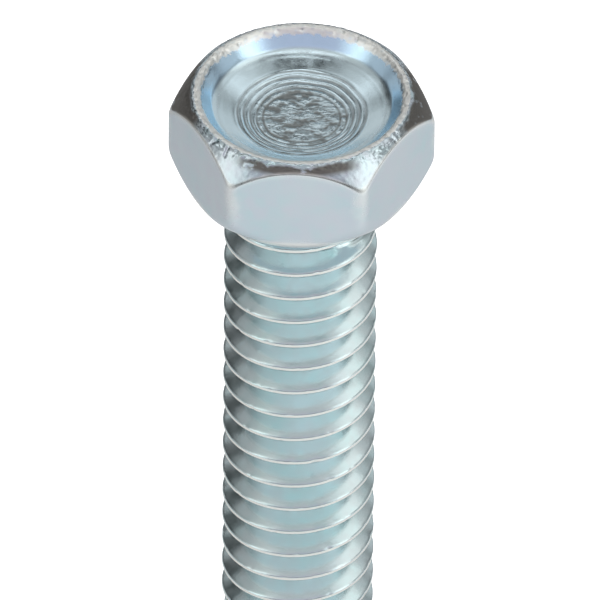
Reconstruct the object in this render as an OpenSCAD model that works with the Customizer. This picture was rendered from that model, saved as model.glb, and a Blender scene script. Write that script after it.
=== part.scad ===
// Hex head machine bolt with an indented head, 1/4-20 UNC by 1 inch, threaded to the head.
// Millimetres, +Z up. The origin is on the axis at the bearing face, where the head meets
// the clamped part: the head stands above it and the threaded shank hangs below it.
// The real bolt is one cold-formed and thread-rolled piece. The nodes are its regions.

/* [Thread] */
// Diameter over the thread crests
major_d = 6.26; // [6:0.01:6.5]
// Axial distance from one crest to the next
pitch = 1.27; // [1:0.01:1.5]
// Direction, seen from above, in which the front crest starts, in degrees
thread_phase = 102; // [0:1:359]
// Length from the bearing face to the end of the point
bolt_length = 25.4; // [16:0.1:38]

/* [Head] */
// Width across two opposite flats
across_flats = 9.525; // [9.3:0.005:9.8]
// Width across two opposite corners, over their softened edges
across_corners = 10.92; // [10.8:0.01:11]
// Height of the rim above the bearing face
head_height = 4.6; // [4.4:0.05:4.8]
// Drop of the upper bevel from the rim to a corner
bevel_drop = 1.25; // [1:0.05:1.4]
// Diameter of the flat ring that bears on the clamped part
bearing_d = 8.6; // [8.2:0.1:9.2]
// Rise of the lower bevel from the bearing ring to a corner
bevel_rise = 1.2; // [1:0.05:1.3]

/* [Recess] */
// Diameter of the recess across the crest of its rim
recess_d = 8.8; // [8.4:0.05:8.9]
// Diameter at the foot of the recess wall, where the dished floor starts
recess_floor_d = 7.6; // [7:0.05:7.8]
// Depth of the foot of the wall below the rim
wall_depth = 0.55; // [0.4:0.05:0.7]
// Diameter of the flat disc in the middle of the floor
disc_d = 4.6; // [4:0.1:5.2]
// Depth of the flat disc below the rim
recess_depth = 1.3; // [1:0.05:1.5]

/* [Neck] */
// Diameter of the plain neck, which is the wire the thread is rolled on
neck_d = 5.48; // [5.2:0.01:5.6]
// Length of the plain neck
neck_length = 0.9; // [0.7:0.05:1.2]
// Radius of the fillet under the head
fillet_r = 0.5; // [0.4:0.05:0.6]

/* [Point] */
// Length of the tapered point
point_length = 2.8; // [2:0.1:3.2]
// Diameter of the flat end of the point
point_d = 4.6; // [4.4:0.05:4.7]

/* [Hidden] */

STEEL = "lightsteelblue";
POINT_STEEL = "slategray";

// Unified thread form: a 60 degree sharp V of height sharp_h, with its crest cut to an
// eighth of the pitch and its root to a sixth.
sharp_h = pitch * sqrt(3) / 2;
major_r = major_d / 2;
minor_r = major_r - 17 / 24 * sharp_h;
crest_w = pitch / 8;
root_w = pitch / 6;

// The helix is straight between its steps. Its corners stand a hair outside the crest
// cylinder that trims them, so each crest keeps true cylindrical lands.
steps = 36;
corner_r = major_r * (1 + cos(180 / (2 * steps))) / 2 / cos(180 / steps);

neck_z = -neck_length;
runout_z = neck_z - pitch;
tip_z = -bolt_length;
point_z = tip_z + point_length;

// The upper bevel drops by this power of the distance from the rim, so it starts nearly
// flat and is steepest at the corners.
bevel_power = 1.4;
bevel_steps = 6;

// One turn of the profile as [radius, height], read upwards from the crest's lower edge.
PROFILE = [
    [corner_r, -crest_w / 2],
    [corner_r, crest_w / 2],
    [minor_r, (pitch - root_w) / 2],
    [minor_r, (pitch + root_w) / 2]
];
EDGES = len(PROFILE);

function helix_z(i) = (i / steps + thread_phase / 360) * pitch;

function helix_point(i, j) =
    let (angle = 360 * i / steps, p = PROFILE[j])
    [p[0] * cos(angle), p[0] * sin(angle), helix_z(i) + p[1]];

// Right-hand threaded bar. Its surface is one strip that climbs from step first to step
// last, and the strip's upper edge is its own lower edge one turn later. One more turn of
// crest edge and a point on the axis close each end.
module threaded_bar(z_low, z_high) {
    first = floor((z_low / pitch - 1.5) * steps);
    last = ceil((z_high / pitch + 0.5) * steps);
    count = last - first;
    strip = [for (i = [0:count]) for (j = [0:EDGES - 1]) helix_point(first + i, j)];
    closing = [for (i = [count + 1:count + steps]) helix_point(first + i, 0)];
    low_pole = len(strip) + len(closing);
    high_pole = low_pole + 1;
    poles = [[0, 0, helix_z(first)], [0, 0, helix_z(last + steps)]];

    function at(i, j) =
        j == EDGES ? at(i + steps, 0) :
        i <= count ? i * EDGES + j :
        len(strip) + i - count - 1;

    sides = [for (i = [0:count - 1]) for (j = [0:EDGES - 1]) each [
        [at(i, j), at(i + 1, j + 1), at(i + 1, j)],
        [at(i, j), at(i, j + 1), at(i + 1, j + 1)]
    ]];
    low_rim = [for (i = [0:steps - 1]) [at(i, 0), at(i + 1, 0), low_pole]];
    low_step = [for (j = [0:EDGES - 1]) [at(0, j + 1), at(0, j), low_pole]];
    high_rim = [for (i = [0:steps - 1]) [at(count + i + 1, 0), at(count + i, 0), high_pole]];
    high_step = [for (j = [0:EDGES - 1]) [at(count, j), at(count, j + 1), high_pole]];
    polyhedron(
        points = concat(strip, closing, poles),
        faces = concat(sides, low_rim, low_step, high_rim, high_step)
    );
}

module hexagon_bar() {
    translate([0, 0, -head_height])
        cylinder(d = across_flats / cos(30), h = 3 * head_height, $fn = 6);
}

// Turned outline of the head: bevels at top and bottom, corners softened at
// across_corners, and the recess in the top.
module head_turning() {
    rim_r = recess_d / 2;
    corner = across_corners / 2;
    rotate_extrude($fn = 96)
        polygon(concat(
            [[0, 0], [bearing_d / 2, 0], [corner, bevel_rise]],
            [for (k = [bevel_steps:-1:0]) let (share = k / bevel_steps) [
                rim_r + (corner - rim_r) * share,
                head_height - bevel_drop * pow(share, bevel_power)
            ]],
            [[recess_floor_d / 2, head_height - wall_depth],
             [disc_d / 2, head_height - recess_depth],
             [0, head_height - recess_depth]]
        ));
}

module neck() {
    inner_r = neck_d / 2;
    rotate_extrude($fn = 96)
        polygon(concat(
            [[0, 0.2], [inner_r + fillet_r, 0.2]],
            [for (a = [0:15:90]) [
                inner_r + fillet_r * (1 - sin(a)),
                -fillet_r * (1 - cos(a))
            ]],
            [[inner_r, neck_z], [0, neck_z]]
        ));
}

module hex_head() {
    color(STEEL)
    union() {
        intersection() {
            hexagon_bar();
            head_turning();
        }
        neck();
    }
}

// Solid of revolution that trims the threaded bar: it runs in from the neck over one
// pitch, keeps the major diameter, and tapers to the flat end of the point.
module shank_turning() {
    rotate_extrude($fn = 96)
        polygon([
            [0, neck_z], [neck_d / 2, neck_z], [major_r, runout_z],
            [major_r, point_z], [point_d / 2, tip_z], [0, tip_z]
        ]);
}

module shank_between(z_low, z_high) {
    intersection() {
        threaded_bar(z_low, z_high);
        intersection() {
            shank_turning();
            translate([0, 0, z_low])
                cylinder(r = 2 * major_r, h = z_high - z_low);
        }
    }
}

module threaded_shank() {
    color(STEEL)
        shank_between(point_z, neck_z);
}

module lead_point() {
    color(POINT_STEEL)
        shank_between(tip_z, point_z);
}

hex_head();
threaded_shank();
lead_point();
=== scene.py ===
"""Hex bolt with an indented head, in blue-white zinc plated steel, standing on its point.

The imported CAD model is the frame. Three detailed meshes stand for its nodes: the head with
its bevels, rim and dished recess, the rolled thread with its run-out, and the lead point.
"""

import math

import bpy
import numpy as np
from mathutils import Matrix, Vector, noise


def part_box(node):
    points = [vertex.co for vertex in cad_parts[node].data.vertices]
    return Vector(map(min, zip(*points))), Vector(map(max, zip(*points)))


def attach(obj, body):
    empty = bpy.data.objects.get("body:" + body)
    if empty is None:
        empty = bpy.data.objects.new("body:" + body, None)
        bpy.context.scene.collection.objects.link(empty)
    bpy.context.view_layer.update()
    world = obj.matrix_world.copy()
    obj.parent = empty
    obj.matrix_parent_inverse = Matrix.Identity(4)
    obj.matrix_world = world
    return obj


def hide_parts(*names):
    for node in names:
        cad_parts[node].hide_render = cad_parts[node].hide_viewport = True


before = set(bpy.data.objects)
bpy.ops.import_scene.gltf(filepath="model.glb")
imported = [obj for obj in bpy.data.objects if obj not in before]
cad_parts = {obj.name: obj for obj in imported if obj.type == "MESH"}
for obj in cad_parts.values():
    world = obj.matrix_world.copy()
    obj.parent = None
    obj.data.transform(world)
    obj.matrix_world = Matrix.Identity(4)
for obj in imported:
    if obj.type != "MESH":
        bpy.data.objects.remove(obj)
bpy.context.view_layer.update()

MM = 0.001

# ---------------------------------------------------------------------------
# Sizes. The boxes of the CAD nodes give the large ones.

head_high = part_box("hex_head")[1]
shank_low, shank_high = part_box("threaded_shank")
point_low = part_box("lead_point")[0]

APOTHEM = head_high.y
CORNER_R = head_high.x
HEAD_TOP = head_high.z
NECK_Z = shank_high.z
MAJOR_R = shank_high.x
POINT_Z = shank_low.z
TIP_Z = point_low.z

PITCH = 1.27 * MM
# The topmost crest is one pitch below the bearing face this many degrees clockwise of +X.
THREAD_PHASE = 102.0
SHARP_H = PITCH * math.sqrt(3) / 2
MINOR_R = MAJOR_R - 3 / 4 * SHARP_H
CREST_W = 0.15 * MM
CREST_ROUND = 0.012 * MM
UPPER_ROUND = 0.08 * MM
ROOT_ROUND = 0.04 * MM

NECK_R = 2.74 * MM
FILLET_R = 0.5 * MM
POINT_R = 2.3 * MM

EDGE_R = 0.5 * MM
BEARING_R = 4.3 * MM
LOWER_RISE = 1.2 * MM
UPPER_DROP = 1.25 * MM
BEVEL_POWER = 1.35

# Recess, from its middle to the rim: radius and depth below the rim.
RECESS = MM * np.array([
    (0, 1.32), (1.2, 1.31), (1.6, 1.29), (2.0, 1.24), (2.4, 1.15), (2.8, 1.02), (3.3, 0.82),
    (3.64, 0.66), (4.1, 0.12), (4.2, 0.02), (4.26, 0), (4.38, 0),
])
RIM_R = RECESS[-1, 0]
BEVEL_START = RIM_R + 0.15 * MM


# ---------------------------------------------------------------------------
# Small helpers


def field(points, size, octaves=3, seed=0):
    """Fractal noise of about -1 to 1 at each point, with features of this size."""
    shift = Vector((17.3 * seed, -9.1 * seed, 5.7 * seed))
    return np.array([
        noise.fractal(Vector(p) / size + shift, 1.0, 2.0, octaves) for p in points.reshape(-1, 3)
    ]).reshape(points.shape[:-1])


def smooth_step(x, low, high):
    t = np.clip((x - low) / (high - low), 0, 1)
    return t * t * (3 - 2 * t)


def cylinder_points(radius, angle, z):
    return np.stack([radius * np.cos(angle), radius * np.sin(angle), z], axis=-1)


def add_values(mesh, name, values):
    """A number for each vertex, which materials read by name."""
    mesh.attributes.new(name, "FLOAT", "POINT").data.foreach_set(
        "value", np.asarray(values, np.float32).ravel()
    )


def surface_normals(points):
    """Outward normals of a closed ring grid: points[k, j] goes outwards with k, round with j."""
    along = np.gradient(points, axis=0)
    around = np.roll(points, -1, axis=1) - np.roll(points, 1, axis=1)
    normal = np.cross(along, around)
    return normal / np.linalg.norm(normal, axis=-1, keepdims=True)


def make_piece(name, points, faces, node):
    """A smooth-shaded mesh that stands for one CAD node and rides with the bolt."""
    mesh = bpy.data.meshes.new(name)
    mesh.from_pydata(points.tolist(), [], faces)
    mesh.validate()
    mesh.shade_smooth()
    piece = bpy.data.objects.new(name, mesh)
    bpy.context.scene.collection.objects.link(piece)
    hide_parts(node)
    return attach(piece, "root")


# ---------------------------------------------------------------------------
# Head: columns of points round the axis, read from the middle of the recess outwards,
# down the side, and in along the bearing face to the neck.

HEAD_COLUMNS = 480
FIRST_RING_R = 0.1 * MM
RIM_SOFTNESS = 0.09 * MM


def steps_between(start, end, count):
    """count values from start up to, but not including, end."""
    return np.linspace(start, end, count, endpoint=False)


def angle_off_corner(angle):
    """How far each direction is from the nearest corner of the hexagon, up to 30 degrees."""
    sixth = math.pi / 6
    return np.abs((angle + sixth) % (2 * sixth) - sixth)


def hexagon_radius(angle):
    """Distance from the axis to the side of a hexagon with rounded corners, one on +X."""
    sixth = math.pi / 6
    off_corner = angle_off_corner(angle)
    centre = (APOTHEM - EDGE_R) / math.cos(sixth)
    meeting = math.atan2(EDGE_R * math.sin(sixth), centre + EDGE_R * math.cos(sixth))
    across = centre * np.sin(np.minimum(off_corner, meeting))
    rounded = centre * np.cos(off_corner) + np.sqrt(EDGE_R**2 - across**2)
    return np.where(off_corner < meeting, rounded, APOTHEM / np.cos(sixth - off_corner))


def bevel_height(radius):
    """Height of the upper bevel, which starts at the rim and steepens to the corners."""
    share = np.clip((radius - RIM_R) / (CORNER_R - RIM_R), 0, 1)
    return HEAD_TOP - UPPER_DROP * share**BEVEL_POWER


def top_height(radius):
    """Height of the recess and the rim, with their corners rounded by averaging."""
    total = 0
    offsets = np.linspace(-1, 1, 9) * RIM_SOFTNESS
    for offset in offsets:
        r = radius + offset
        recess = HEAD_TOP - np.interp(r, RECESS[:, 0], RECESS[:, 1])
        total = total + np.where(r < RIM_R, recess, bevel_height(r))
    return total / len(offsets)


def rounded_corner(before, corner, after, count):
    """Points of a soft bend from before to after, whose tangents meet at corner."""
    t = np.linspace(0, 1, count)[:, None, None]
    return (1 - t) ** 2 * before + 2 * t * (1 - t) * corner + t**2 * after


def head_profile(angle):
    """(radius, height) of each ring of the head at each angle, and each ring's section."""
    side = hexagon_radius(angle)
    ones = np.ones_like(angle)
    rings, zones = [], []

    def add(radii, heights, zone):
        rings.extend(np.stack([r * ones, z * ones], axis=-1) for r, z in zip(radii, heights))
        zones.extend([zone] * len(radii))

    turned = np.concatenate([
        steps_between(FIRST_RING_R, 1.2 * MM, 40),
        steps_between(1.2 * MM, 2.9 * MM, 48),
        steps_between(2.9 * MM, 3.75 * MM, 16),
        steps_between(3.75 * MM, BEVEL_START, 24),
    ])
    add(turned, top_height(turned), "top")

    to_corner = ((side - APOTHEM) / (CORNER_R - APOTHEM))[:, None]
    upper_bend = (0.06 + 0.14 * to_corner**2) * MM
    lower_bend = (0.24 + 0.26 * to_corner**2) * MM
    bevel_end = side - upper_bend[:, 0] * 0.7
    share = np.linspace(0, 1, 20)[:, None]
    bevel_r = BEVEL_START + (bevel_end - BEVEL_START) * share
    add(bevel_r, top_height(bevel_r), "bevel")

    top_edge = np.stack([side, bevel_height(side)], axis=-1)
    low_rise = LOWER_RISE * (side - BEARING_R) / (CORNER_R - BEARING_R)
    low_edge = np.stack([side, low_rise], axis=-1)
    inward = np.stack([BEARING_R - side, -low_rise], axis=-1)
    inward /= np.linalg.norm(inward, axis=-1, keepdims=True)
    down = np.array([0, -1.0])
    before = np.stack([bevel_end, top_height(bevel_end)], axis=-1)
    bend = rounded_corner(before, top_edge, top_edge + down * upper_bend, 7)[1:]
    add(bend[..., 0], bend[..., 1], "edge")

    start, end = top_edge + down * upper_bend, low_edge - down * lower_bend
    share = np.linspace(0, 1, 18)[1:, None, None]
    flat = start + (end - start) * share
    add(flat[..., 0], flat[..., 1], "flat")
    bend = rounded_corner(end, low_edge, low_edge + inward * lower_bend, 10)[1:]
    add(bend[..., 0], bend[..., 1], "flat")

    start = low_edge + inward * lower_bend
    end = np.stack([BEARING_R * ones, 0 * ones], axis=-1)
    under = start + (end - start) * np.linspace(0, 1, 5)[1:, None, None]
    add(under[..., 0], under[..., 1], "under")

    ring = np.linspace(BEARING_R, NECK_R + FILLET_R, 6)[1:]
    add(ring, 0 * ring, "under")
    turn = np.radians(np.linspace(0, 90, 8)[1:])
    add(NECK_R + FILLET_R * (1 - np.sin(turn)), -FILLET_R * (1 - np.cos(turn)), "under")
    drop = np.linspace(-FILLET_R, NECK_Z, 5)[1:]
    add(NECK_R + 0 * drop, drop, "under")
    return np.array(rings), np.array(zones)


def ring_faces(rings, columns):
    """Quads between neighbouring rings of a grid of points numbered ring by ring."""
    faces = []
    for k in range(rings - 1):
        for j in range(columns):
            n = (j + 1) % columns
            a, b = k * columns, (k + 1) * columns
            faces.append((a + j, b + j, b + n, a + n))
    return faces


RING_SPACING = 0.27 * MM
RING_DEPTH = 0.02 * MM
PRESSED_DEPTH = 0.027 * MM
NICK_DEPTH = 0.07 * MM
LIP_GRAIN = 0.016 * MM
BEVEL_GRAIN = 0.006 * MM
BEVEL_GRAIN_AT_RIM = 0.01 * MM
CRACK_DEPTH = 0.06 * MM

# Thin cracks across the lip: strength, direction in degrees, then start, end and width in
# millimetres, and how far the crack leans from a radius.
CRACKS = [
    (1.0, -33.5, 4.15, 4.8, 0.07, 0.3),
    (0.8, -30.5, 4.45, 5.0, 0.06, -0.5),
    (1.0, -138, 4.3, 4.75, 0.1, -0.6),
    (0.8, -129, 4.45, 4.8, 0.08, 0.2),
]


def band(x, low, high, edge):
    """1 between low and high, fading to 0 over edge on both sides."""
    return smooth_step(x, low - edge, low) * (1 - smooth_step(x, high, high + edge))


def crack(radius, angle, direction, start, end, width, slant):
    """1 along the middle of a thin, nearly radial line, fading to 0 at width to each side."""
    along = (radius - start) / (end - start)
    across = radius * np.sin(angle - math.radians(direction)) - slant * (along - 0.5) * (end - start)
    facing = np.cos(angle - math.radians(direction)) > 0
    return np.clip(1 - np.abs(across) / width, 0, 1) * ((along > 0) & (along < 1)) * facing


def tool_marks(points, radius):
    """Heights, from about -1 to 1, of the turned rings and of the rough pressed centre."""
    wobble = field(points, 1.6 * MM, 2, 1) * 0.06 * MM
    uneven = 0.7 + 0.35 * field(points * (1, 1, 0.2), 0.7 * MM, 2, 2)
    rings = np.sin((radius + wobble) * 2 * math.pi / RING_SPACING) * uneven
    ringed = band(radius, 1.6 * MM, 2.55 * MM, 0.3 * MM)
    ringed += 0.2 * band(radius, 3.3 * MM, 3.6 * MM, 0.1 * MM)
    pressed = 1 - smooth_step(radius, 1.5 * MM, 2.1 * MM)
    return rings * ringed, field(points * (0.7, 1.3, 1), 0.28 * MM, 4, 4) * pressed


def head_relief(points, radius, angle, on_top):
    """Height of the tool marks, nicked rim and rough bevel above the plain form."""
    rings, pressed = tool_marks(points, radius)
    rim = band(radius, 4.12 * MM, 4.6 * MM, 0.08 * MM)
    bevel = smooth_step(radius, 4.45 * MM, 4.6 * MM)
    near_rim = 1 - smooth_step(radius, 4.6 * MM, 5 * MM)
    nicks = np.minimum(field(points, 0.24 * MM, 3, 3) + 0.15, 0)
    cracks = sum(
        strength * crack(radius, angle, direction, start * MM, end * MM, width * MM, slant)
        for strength, direction, start, end, width, slant in CRACKS
    )
    relief = (
        rings * RING_DEPTH
        + pressed * PRESSED_DEPTH
        + nicks * rim * NICK_DEPTH
        + field(points, 0.13 * MM, 3, 8) * rim * LIP_GRAIN
        + field(points, 0.14 * MM, 3, 5) * bevel * (BEVEL_GRAIN + BEVEL_GRAIN_AT_RIM * near_rim)
        - cracks * CRACK_DEPTH
    )
    return relief * on_top


def head_masks(points, radius, angle, height, on_top):
    """Where the zinc is made pale as a painted highlight on the rim, the corners, the top and bottom
    edges of the sides and the near side of the recess, dark in patches on the bevel at the left
    and right corners and the front, dark as painted shade in the low parts of the tool marks and a
    little over the pressed centre, and bluer in the recess and its wall."""
    off_corner = angle_off_corner(angle) + 0 * radius
    side_near = smooth_step(radius, hexagon_radius(angle) - 0.12 * MM, hexagon_radius(angle))
    patchy = field(points, 0.6 * MM, 3, 6)
    fine = field(points, 0.2 * MM, 3, 7)
    # Painted highlight: the rim, starting further in at the back, the corners of the hexagon, the
    # bottom and top edges of the sides and the near side of the recess are made pale.
    lip_start = (4.13 - 0.11 * smooth_step(np.sin(angle), 0.2, 0.8)) * MM
    rim = band(radius + 0.06 * fine * MM, lip_start, 4.38 * MM, 0.04 * MM) * on_top
    near_side_highlight = band(radius, 3.35 * MM, 3.8 * MM, 0.2 * MM) * smooth_step(-np.sin(angle), 0.3, 0.9)
    upright = 1 - smooth_step(off_corner + 0.03 * patchy, 0.0, 0.09)
    upright *= (1 - on_top) * smooth_step(height, 0.8 * MM, 3 * MM)
    lower = (1 - smooth_step(height, 0.5 * MM, 0.8 * MM)) * (radius > BEARING_R)
    edge = np.exp(-np.abs(height - bevel_height(radius)) / (0.05 * MM)) * side_near
    painted_highlight = rim + 0.45 * upright + 0.8 * lower + 0.8 * edge + 0.5 * fine * rim
    painted_highlight = np.clip(painted_highlight + 0.7 * near_side_highlight * on_top, 0, 1)

    # Dark patches on the bevel at the left and right corners and at the front.
    to_corner = np.minimum(np.abs(np.sin(angle / 2)), np.abs(np.cos(angle / 2))) * 2
    corner = 1 - smooth_step(to_corner + 0 * radius, 0.36, 0.52)
    front = 1 - smooth_step(np.abs(angle - math.pi * 1.5) + 0 * radius, 0.42, 0.62)
    front *= 1 - smooth_step(radius, 4.72 * MM, 4.92 * MM)
    bevel = smooth_step(radius + patchy * 0.1 * MM, 4.48 * MM, 4.6 * MM) * on_top
    dark = np.clip(corner + front, 0, 1) * bevel * smooth_step(patchy + 0.8 * fine, -0.95, -0.45)
    wall = band(radius, 3.67 * MM, 4.09 * MM, 0.05 * MM) * on_top
    recess = (1 - smooth_step(radius, 3.8 * MM, 4.0 * MM)) * on_top
    # Painted shade: the low parts of the turned rings and pressed marks, and a little of the pressed
    # centre, are darkened.
    rings, pressed = tool_marks(points, radius)
    centre = 1 - smooth_step(radius + patchy * 0.5 * MM, 1.6 * MM, 2.1 * MM)
    hollows = 0.9 * np.maximum(-rings, 0) + 1.3 * np.maximum(-pressed, 0)
    dark += np.clip(hollows + 0.2 * centre, 0, 0.85) * on_top
    return {"painted_highlight": painted_highlight, "dark": dark, "wall": wall, "recess": recess}


def build_head():
    angle = np.arange(HEAD_COLUMNS) * 2 * math.pi / HEAD_COLUMNS
    profile, zones = head_profile(angle)
    points = cylinder_points(profile[..., 0], angle, profile[..., 1])
    radius, height = profile[..., 0], profile[..., 1]
    on_top = np.isin(zones, ("top", "bevel"))[:, None] * np.ones_like(radius)
    relief = head_relief(points, radius, angle, on_top)
    masks = head_masks(points, radius, angle, height, on_top)
    points = points + surface_normals(points) * relief[..., None]
    points[..., 2] = np.minimum(points[..., 2], HEAD_TOP)
    count = len(points)
    faces = ring_faces(count, HEAD_COLUMNS)
    last = (count - 1) * HEAD_COLUMNS
    centre, bottom = count * HEAD_COLUMNS, count * HEAD_COLUMNS + 1
    for j in range(HEAD_COLUMNS):
        n = (j + 1) % HEAD_COLUMNS
        faces.append((centre, j, n))
        faces.append((bottom, last + n, last + j))
    middle = [[0, 0, points[0, :, 2].mean()], [0, 0, NECK_Z]]
    points = np.concatenate([points.reshape(-1, 3), middle])
    head = make_piece("bolt_head", points, faces, "hex_head")
    for name, values in masks.items():
        add_values(head.data, name, np.append(values.ravel(), (0, 0)))
    return head


# ---------------------------------------------------------------------------
# Thread: columns of points round the axis whose heights climb with the helix, so that
# crests and roots run along the mesh. Heights past an end are held at that end.

THREAD_COLUMNS = 216

# Where each turn is sampled, in pitches above a crest: closest at the crest's two edges.
TURN_SHARES = np.array([
    0, 0.025, 0.038, 0.048, 0.056, 0.065, 0.078, 0.11, 0.18, 0.28, 0.36, 0.41, 0.45,
    0.5, 0.55, 0.59, 0.64, 0.72, 0.82, 0.89, 0.922, 0.935, 0.944, 0.952, 0.962, 0.975,
])

# Between these directions, counted from +X with the front at -90 degrees, the topmost crest
# sinks to the neck and the groove below it fills.
RUNOUT_START = math.radians(-70)
RUNOUT_END = math.radians(-18)
TOP_CREST_Z = THREAD_PHASE / 360 * PITCH - PITCH


def soft_min(a, b, reach):
    h = np.maximum(reach - np.abs(a - b), 0) / reach
    return np.minimum(a, b) - h * h * reach / 4


def soft_max(a, b, reach):
    return -soft_min(-a, -b, reach)


def crest_height(angle):
    """Height of the topmost crest, a right-hand helix."""
    return TOP_CREST_Z + angle / (2 * math.pi) * PITCH


def vee_radius(below_crest):
    """Radius of the thread this far below its crest, or above it if negative: a V with a
    nearly flat crest, softened on its upper side, and a round root."""
    vee = MAJOR_R - (np.abs(below_crest) - CREST_W / 2) * math.sqrt(3)
    softness = np.where(below_crest < 0, UPPER_ROUND, CREST_ROUND)
    return soft_max(soft_min(vee, MAJOR_R, softness), MINOR_R, ROOT_ROUND)


def shank_radius(angle, z):
    """Radius of the threaded shank, for angles over the turn that ends at RUNOUT_END."""
    top_crest = crest_height(angle)
    gone = smooth_step(angle, RUNOUT_START, RUNOUT_END)
    below_top = (top_crest - z) / PITCH
    regular = vee_radius((below_top - np.maximum(np.round(below_top), 0)) * PITCH)
    sunk = MAJOR_R - (MAJOR_R - NECK_R) * gone
    filled = MINOR_R + (NECK_R - MINOR_R) * gone
    crest = soft_min(regular, sunk, UPPER_ROUND)
    thread = np.where(below_top < 0.5, crest, regular)
    floor = np.where(below_top < 0, NECK_R, np.where(below_top < 1, filled, MINOR_R))
    radius = np.minimum(soft_max(thread, floor, CREST_ROUND), MAJOR_R)
    shown = smooth_step(NECK_Z - z, 0, 0.12 * MM)
    return NECK_R + (radius - NECK_R) * shown


def taper_radius(z):
    """Radius of the cone that the point is turned to."""
    return MAJOR_R - (MAJOR_R - POINT_R) * np.clip((POINT_Z - z) / (POINT_Z - TIP_Z), 0, 1)


def helical_grid(z_low, z_high):
    """Angles, heights and faces of a grid that climbs with the helix between two heights."""
    angle = RUNOUT_END - 2 * math.pi + np.arange(THREAD_COLUMNS) * 2 * math.pi / THREAD_COLUMNS
    samples = len(TURN_SHARES)
    first = math.floor((z_low - crest_height(RUNOUT_END)) / PITCH)
    last = math.ceil((z_high - crest_height(RUNOUT_END - 2 * math.pi)) / PITCH)
    turns = (np.arange(first, last + 1)[:, None] + TURN_SHARES).ravel()
    free = crest_height(angle)[:, None] + turns * PITCH
    z = np.clip(free, z_low, z_high)
    rows = z.shape[1]

    index = np.arange(z.size).reshape(z.shape)
    lowest = (free <= z_low).sum(axis=1) - 1
    highest = rows - (free >= z_high).sum(axis=1)
    row = np.clip(np.arange(rows), lowest[:, None], highest[:, None])
    index = np.take_along_axis(index, row, axis=1)

    faces = []
    for j in range(THREAD_COLUMNS):
        here, there = index[j].tolist(), index[(j + 1) % THREAD_COLUMNS].tolist()
        if j == THREAD_COLUMNS - 1:
            there = there[samples:] + [there[-1]] * samples
        for k in range(rows - 1):
            corners = list(dict.fromkeys((here[k], there[k], there[k + 1], here[k + 1])))
            if len(corners) > 2:
                faces.append(corners)
    low_ring = [int(index[j, 0]) for j in range(THREAD_COLUMNS)]
    high_ring = [int(index[j, -1]) for j in range(THREAD_COLUMNS)]
    return np.broadcast_to(angle[:, None], z.shape), z, faces, low_ring, high_ring


CREST_NICK_DEPTH = 0.05 * MM
FLANK_GRAIN = 0.003 * MM


def thread_relief(points, radius):
    """Nicks along the crests, and a faint grain all over."""
    crest = smooth_step(radius, MAJOR_R - 0.16 * MM, MAJOR_R - 0.02 * MM)
    nicks = np.minimum(field(points, 0.35 * MM, 3, 11) + 0.35, 0)
    grain = field(points * (1, 1, 0.5), 0.25 * MM, 3, 12)
    return crest * nicks * CREST_NICK_DEPTH + grain * FLANK_GRAIN


def build_shank(name, node, z_low, z_high, outline):
    """One stretch of the thread, closed with flat ends."""
    angle, z, faces, low, high = helical_grid(z_low, z_high)
    radius = np.minimum(shank_radius(angle, z), outline(z))
    points = cylinder_points(radius, angle, z)
    free = ((z > z_low) & (z < z_high)).astype(float)
    radius = np.minimum(radius + thread_relief(points, radius) * free, MAJOR_R)
    points = cylinder_points(radius, angle, z).reshape(-1, 3)
    from_crest = (z - crest_height(angle)) / PITCH
    # Painted highlight: the crests and their lower side are made pale.
    lower_side = 1 - smooth_step((from_crest - np.round(from_crest)) * PITCH, 0, 0.05 * MM)
    painted_highlight = smooth_step(radius, MAJOR_R - 0.07 * MM, MAJOR_R - 0.02 * MM) * lower_side

    count = len(points)
    points = np.concatenate([points, [[0, 0, z_low], [0, 0, z_high]]])
    for j in range(THREAD_COLUMNS):
        n = (j + 1) % THREAD_COLUMNS
        faces.append((low[n], low[j], count))
        faces.append((high[j], high[n], count + 1))
    used = np.unique([v for f in faces for v in f])
    new = np.zeros(len(points), int)
    new[used] = np.arange(len(used))
    faces = [new[list(f)].tolist() for f in faces]
    shank = make_piece(name, points[used], faces, node)
    add_values(shank.data, "painted_highlight", np.append(painted_highlight.ravel(), (0, 0))[used])
    return shank


def build_thread():
    return build_shank("bolt_thread", "threaded_shank", POINT_Z, NECK_Z, lambda z: MAJOR_R + 0 * z)


def build_point():
    return build_shank("bolt_point", "lead_point", TIP_Z, POINT_Z, taper_radius)


# ---------------------------------------------------------------------------
# Materials


RECESS_BLUE = (0.69, 0.84, 0.9)
WALL_BLUE = (0.6, 0.82, 1.0)
# Dark of the patches on the bevel, and painted shade in the tool marks.
DARK_PATCH_AND_SHADE = (0.17, 0.16, 0.145)
# Pale colour of the painted highlights on edges, rim and crests.
HIGHLIGHT_PALE = (0.97, 0.96, 0.91)


def set_inputs(node, values):
    for name, value in values.items():
        node.inputs[name].default_value = value


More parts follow.
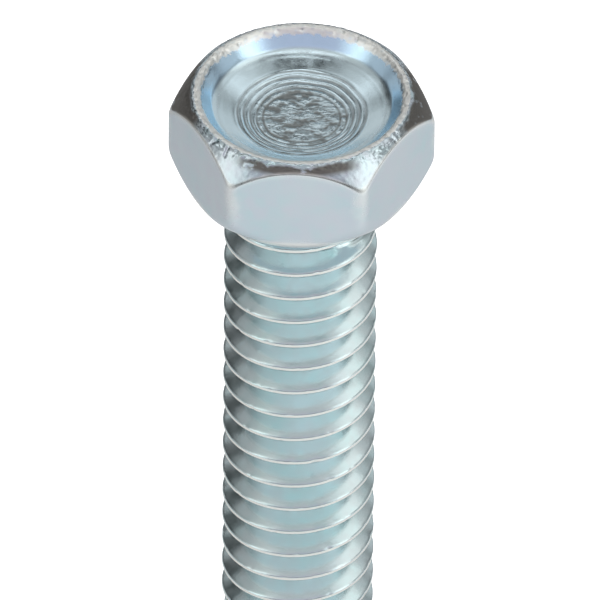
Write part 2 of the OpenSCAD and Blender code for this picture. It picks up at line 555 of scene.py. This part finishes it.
def zinc_material(name, main, second, spots):
    """Bright zinc with a clear blue passivate, pale as a painted highlight on edges and crests,
    dark in patches on the bevel and as painted shade in the tool marks.
    """
    material = bpy.data.materials.new(name)
    material.use_nodes = True
    nodes, links = material.node_tree.nodes, material.node_tree.links
    shader = nodes["Principled BSDF"]
    set_inputs(shader, {"Metallic": 1.0})
    place = nodes.new("ShaderNodeTexCoord").outputs["Object"]

    def noise_at(size, detail=3.0, stretch=(1, 1, 1)):
        scaled = nodes.new("ShaderNodeMapping")
        set_inputs(scaled, {"Scale": Vector(stretch) / size})
        links.new(place, scaled.inputs["Vector"])
        texture = nodes.new("ShaderNodeTexNoise")
        set_inputs(texture, {"Scale": 1.0, "Detail": detail})
        links.new(scaled.outputs["Vector"], texture.inputs["Vector"])
        return texture.outputs["Fac"]

    def ranged(value, low, high, new_low=0.0, new_high=1.0):
        node = nodes.new("ShaderNodeMapRange")
        set_inputs(node, {"From Min": low, "From Max": high, "To Min": new_low, "To Max": new_high})
        links.new(value, node.inputs["Value"])
        return node.outputs["Result"]

    def maths(operation, a, b):
        node = nodes.new("ShaderNodeMath")
        node.operation = operation
        for socket, value in zip(node.inputs, (a, b)):
            if isinstance(value, (int, float)):
                socket.default_value = value
            else:
                links.new(value, socket)
        return node.outputs[0]

    def mixed(amount, a, b):
        node = nodes.new("ShaderNodeMix")
        node.data_type = "RGBA"
        links.new(amount, node.inputs["Factor"])
        for name, value in (("A", a), ("B", b)):
            if isinstance(value, tuple):
                node.inputs[name].default_value = (*value, 1)
            else:
                links.new(value, node.inputs[name])
        return node.outputs["Result"]

    def mask(name):
        node = nodes.new("ShaderNodeAttribute")
        node.attribute_name = name
        return node.outputs["Fac"]

    painted_highlight, dark, wall, recess = mask("painted_highlight"), mask("dark"), mask("wall"), mask("recess")
    broad = ranged(noise_at(2.2 * MM), 0.38, 0.62)
    small = ranged(noise_at(0.5 * MM, 4), 0.35, 0.65)
    fine = noise_at(0.09 * MM, 4)
    colour = mixed(broad, main, second)
    colour = mixed(maths("MULTIPLY", small, 0.5), colour, spots)
    colour = mixed(recess, colour, RECESS_BLUE)
    colour = mixed(wall, colour, WALL_BLUE)
    # Dark patches on the bevel, and painted shade in the tool marks.
    colour = mixed(maths("MULTIPLY", dark, 0.95), colour, DARK_PATCH_AND_SHADE)
    # Painted highlight: pale on the rim, the edges and the crests.
    colour = mixed(maths("MULTIPLY", painted_highlight, 0.85), colour, HIGHLIGHT_PALE)
    links.new(colour, shader.inputs["Base Color"])

    rough = maths("ADD", ranged(small, 0, 1, 0.17, 0.26), maths("MULTIPLY", dark, 0.25))
    rough = maths("ADD", rough, maths("MULTIPLY", painted_highlight, 0.2))
    links.new(rough, shader.inputs["Roughness"])

    bump = nodes.new("ShaderNodeBump")
    set_inputs(bump, {"Strength": 0.12, "Distance": 0.02 * MM})
    links.new(fine, bump.inputs["Height"])
    links.new(bump.outputs["Normal"], shader.inputs["Normal"])
    return material


# ---------------------------------------------------------------------------
# Floor, light and camera


FLOOR_RADIUS = 0.4
GLOW_REACH = 60 * MM
GLOW_MOST = 0.48
GLOW_TOWARD = (0.6, -0.8, 0)
CAMERA_GLOW = 0.9


def floor_material():
    """A pale matt floor that looks white from the camera, and glows a little in the metal,
    more at the front right than at the back left."""
    material = bpy.data.materials.new("pale_floor")
    material.use_nodes = True
    nodes, links = material.node_tree.nodes, material.node_tree.links
    set_inputs(nodes["Principled BSDF"], {"Base Color": (0.8, 0.8, 0.8, 1), "Roughness": 1.0})
    across = nodes.new("ShaderNodeVectorMath")
    across.operation = "DOT_PRODUCT"
    across.inputs[1].default_value = GLOW_TOWARD
    links.new(nodes.new("ShaderNodeTexCoord").outputs["Object"], across.inputs[0])
    glow = nodes.new("ShaderNodeMapRange")
    set_inputs(glow, {"From Min": -GLOW_REACH, "From Max": GLOW_REACH, "To Max": GLOW_MOST})
    links.new(across.outputs["Value"], glow.inputs["Value"])
    brighter = nodes.new("ShaderNodeMath")
    brighter.operation = "MULTIPLY_ADD"
    links.new(nodes.new("ShaderNodeLightPath").outputs["Is Camera Ray"], brighter.inputs[0])
    brighter.inputs[1].default_value = CAMERA_GLOW
    links.new(glow.outputs["Result"], brighter.inputs[2])
    emission = nodes.new("ShaderNodeEmission")
    links.new(brighter.outputs[0], emission.inputs["Strength"])
    both = nodes.new("ShaderNodeAddShader")
    links.new(nodes["Principled BSDF"].outputs[0], both.inputs[0])
    links.new(emission.outputs[0], both.inputs[1])
    links.new(both.outputs[0], nodes["Material Output"].inputs["Surface"])
    return material


def build_floor():
    mesh = bpy.data.meshes.new("floor")
    turn = np.radians(np.arange(0, 360, 5))
    rim = cylinder_points(FLOOR_RADIUS + 0 * turn, turn, TIP_Z + 0 * turn)
    mesh.from_pydata(rim.tolist(), [], [range(len(turn))])
    floor = bpy.data.objects.new("floor", mesh)
    mesh.materials.append(floor_material())
    bpy.context.scene.collection.objects.link(floor)


CAMERA_DISTANCE = 1.0
CAMERA_AZIMUTH = math.radians(2.2)
CAMERA_ELEVATION = math.radians(40.9)
CAMERA_ROLL = math.radians(0.54)
CAMERA_LENS = 1466
CAMERA_AIM = Vector((0, 0, -6.52 * MM))


def build_camera():
    data = bpy.data.cameras.new("camera")
    data.lens = CAMERA_LENS
    data.sensor_width = 36
    data.clip_start, data.clip_end = 0.01, 10
    camera = bpy.data.objects.new("camera", data)
    back = Vector((
        math.sin(CAMERA_AZIMUTH) * math.cos(CAMERA_ELEVATION),
        -math.cos(CAMERA_AZIMUTH) * math.cos(CAMERA_ELEVATION),
        math.sin(CAMERA_ELEVATION),
    ))
    turn = (-back).to_track_quat("-Z", "Y").to_matrix()
    camera.matrix_world = (
        Matrix.Translation(CAMERA_AIM + back * CAMERA_DISTANCE)
        @ (turn @ Matrix.Rotation(CAMERA_ROLL, 3, "Z")).to_4x4()
    )
    bpy.context.scene.collection.objects.link(camera)
    bpy.context.scene.camera = camera


# The room seen in the metal: brightness by the sine of the elevation looked at, then soft
# light and dark ellipses laid over it in order, each (azimuth, elevation, half width, half
# height in degrees, colour). +X is azimuth 0 and +Y is 90. The camera sees plain white.
SKY = [(0.0, 0.08), (0.3, 0.15), (0.6, 0.35), (0.85, 0.5), (1.0, 0.6)]
PATCHES = [
    (90, 56, 40, 11, (0.95, 0.96, 0.97)),
    (90, 34, 30, 7, (0.06, 0.06, 0.06)),
    (90, 17, 34, 6, (0.85, 0.86, 0.87)),
    (90, 82.5, 22, 7, (0.0, 0.0, 0.0)),
    (-90, 88, 26, 4, (1.7, 1.7, 1.7)),
    (8, 52, 13, 15, (1.1, 1.1, 1.07)),
    (-172, 57, 10, 10, (0.6, 0.6, 0.58)),
    (-29, 28, 15, 30, (1.65, 1.65, 1.6)),
    (-151, 28, 15, 30, (1.35, 1.35, 1.3)),
    (-90, 48, 44, 20, (0.62, 0.57, 0.63)),
    (-88, 8, 20, 18, (0.1, 0.1, 0.1)),
    (116, 22, 12, 13, (0.65, 0.65, 0.65)),
    (59, 18, 18, 13, (0.65, 0.66, 0.67)),
    (145, 25, 15, 12, (0.06, 0.06, 0.06)),
    (156, 5, 14, 8, (0.5, 0.5, 0.5)),
    (24, 5, 14, 8, (0.5, 0.5, 0.5)),
    (178, 19, 14, 10, (0.55, 0.55, 0.55)),
    (2, 19, 14, 10, (0.6, 0.6, 0.6)),
]


def frame_toward(azimuth, elevation):
    """The direction, and the rotation whose Z looks that way and whose X is level."""
    a, e = math.radians(azimuth), math.radians(elevation)
    look = Vector((math.cos(a) * math.cos(e), math.sin(a) * math.cos(e), math.sin(e)))
    level = Vector((-math.sin(a), math.cos(a), 0))
    return look, Matrix((level, look.cross(level), look)).transposed().to_euler()


def build_world():
    world = bpy.data.worlds.new("studio")
    bpy.context.scene.world = world
    world.use_nodes = True
    tree = world.node_tree
    nodes, links = tree.nodes, tree.links
    direction = nodes.new("ShaderNodeTexCoord").outputs["Generated"]

    split = nodes.new("ShaderNodeSeparateXYZ")
    links.new(direction, split.inputs[0])
    ramp = nodes.new("ShaderNodeValToRGB")
    ramp.color_ramp.interpolation = "EASE"
    while len(ramp.color_ramp.elements) < len(SKY):
        ramp.color_ramp.elements.new(0.5)
    for element, (place, grey) in zip(ramp.color_ramp.elements, SKY):
        element.position = place
        element.color = (grey, grey, grey, 1)
    links.new(split.outputs["Z"], ramp.inputs["Fac"])
    colour = ramp.outputs["Color"]

    for azimuth, elevation, width, height, patch in PATCHES:
        place = nodes.new("ShaderNodeMapping")
        place.vector_type = "TEXTURE"
        look, turn = frame_toward(azimuth, elevation)
        size = (math.sin(math.radians(width)), math.sin(math.radians(height)), 1)
        set_inputs(place, {"Location": look, "Rotation": turn, "Scale": size})
        links.new(direction, place.inputs["Vector"])
        length = nodes.new("ShaderNodeVectorMath")
        length.operation = "LENGTH"
        links.new(place.outputs["Vector"], length.inputs[0])
        edge = nodes.new("ShaderNodeMapRange")
        edge.interpolation_type = "SMOOTHSTEP"
        set_inputs(edge, {"From Min": 1.3, "From Max": 0.7})
        links.new(length.outputs["Value"], edge.inputs["Value"])
        mix = nodes.new("ShaderNodeMix")
        mix.data_type = "RGBA"
        links.new(edge.outputs["Result"], mix.inputs["Factor"])
        links.new(colour, mix.inputs["A"])
        mix.inputs["B"].default_value = (*patch, 1)
        colour = mix.outputs["Result"]
    links.new(colour, nodes["Background"].inputs["Color"])

    plain = nodes.new("ShaderNodeBackground")
    set_inputs(plain, {"Color": (1, 1, 1, 1), "Strength": 1.0})
    choose = nodes.new("ShaderNodeMixShader")
    links.new(nodes.new("ShaderNodeLightPath").outputs["Is Camera Ray"], choose.inputs["Fac"])
    links.new(nodes["Background"].outputs[0], choose.inputs[1])
    links.new(plain.outputs[0], choose.inputs[2])
    links.new(choose.outputs[0], nodes["World Output"].inputs["Surface"])


# ---------------------------------------------------------------------------
# Scene

# The head's zinc is set darker than the thread's, though the bolt is one plated piece: the
# difference is painted shade.
head_zinc = zinc_material("head_zinc", (0.52, 0.67, 0.715), (0.58, 0.675, 0.72), (0.62, 0.65, 0.73))
thread_zinc = zinc_material("thread_zinc", (0.62, 0.79, 0.81), (0.68, 0.81, 0.84), (0.7, 0.77, 0.79))
build_head().data.materials.append(head_zinc)
build_thread().data.materials.append(thread_zinc)
build_point().data.materials.append(thread_zinc)

build_floor()
build_world()
build_camera()
bpy.context.scene.view_settings.view_transform = "Standard"
